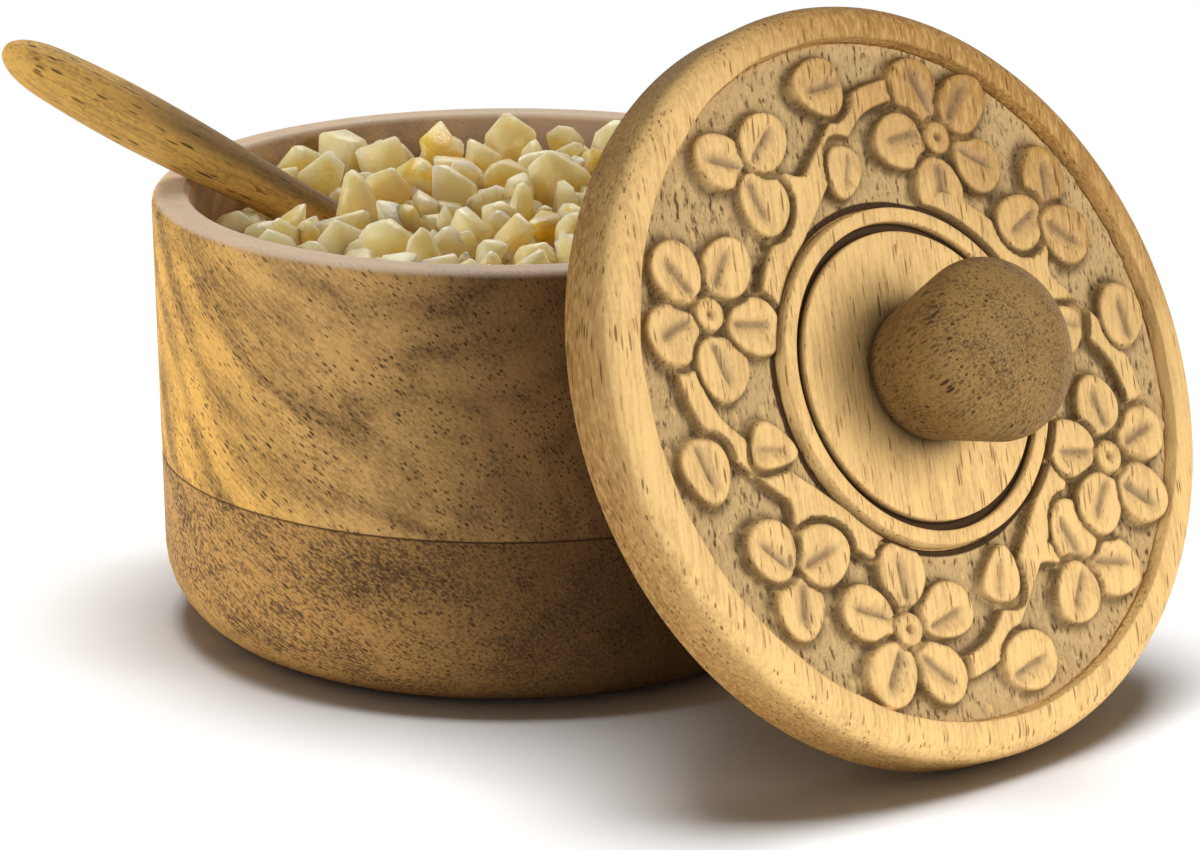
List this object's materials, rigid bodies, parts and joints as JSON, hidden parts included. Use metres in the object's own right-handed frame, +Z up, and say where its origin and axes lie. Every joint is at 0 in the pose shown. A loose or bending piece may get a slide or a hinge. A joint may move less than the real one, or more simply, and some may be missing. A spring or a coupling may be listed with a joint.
{
  "type": "wooden salt box",
  "caption": "Round turned wooden pot filled with coarse salt, with its flower-carved lid and knob leaning on the rim and a small wooden spoon standing in the salt.",
  "frame": {"origin": "centre of the pot's foot, on the plane it stands on", "axes": "+Z up along the pot's turning axis, -Y towards the viewer of the picture, +X to that viewer's right"},
  "size_m": [0.1833, 0.1536, 0.1053],
  "materials": {
    "lower_board": "oiled, flecked grain",
    "upper_board": "oiled, flecked grain",
    "lid_wood": "sanded and waxed",
    "knob_wood": "oiled",
    "spoon_wood": "oiled, streaked",
    "salt": "translucent crystals"
  },
  "bodies": {
    "pot": {"pot_base": "lower_board", "pot_wall": "upper_board", "salt_bed": "salt", "salt_crystals": "salt"},
    "lid": {"lid": "lid_wood", "knob": "knob_wood"},
    "spoon": {"spoon": "spoon_wood"}
  },
  "joints": [
    {"name": "lid_lift", "type": "slide", "parent": "pot", "child": "lid", "axis": [0.6117, -0.6606, 0.4352], "range_m": [0, 0.12]},
    {"name": "spoon_draw", "type": "slide", "parent": "pot", "child": "spoon", "axis": [-0.7806, -0.0903, 0.6184], "range_m": [0, 0.1]}
  ]
}
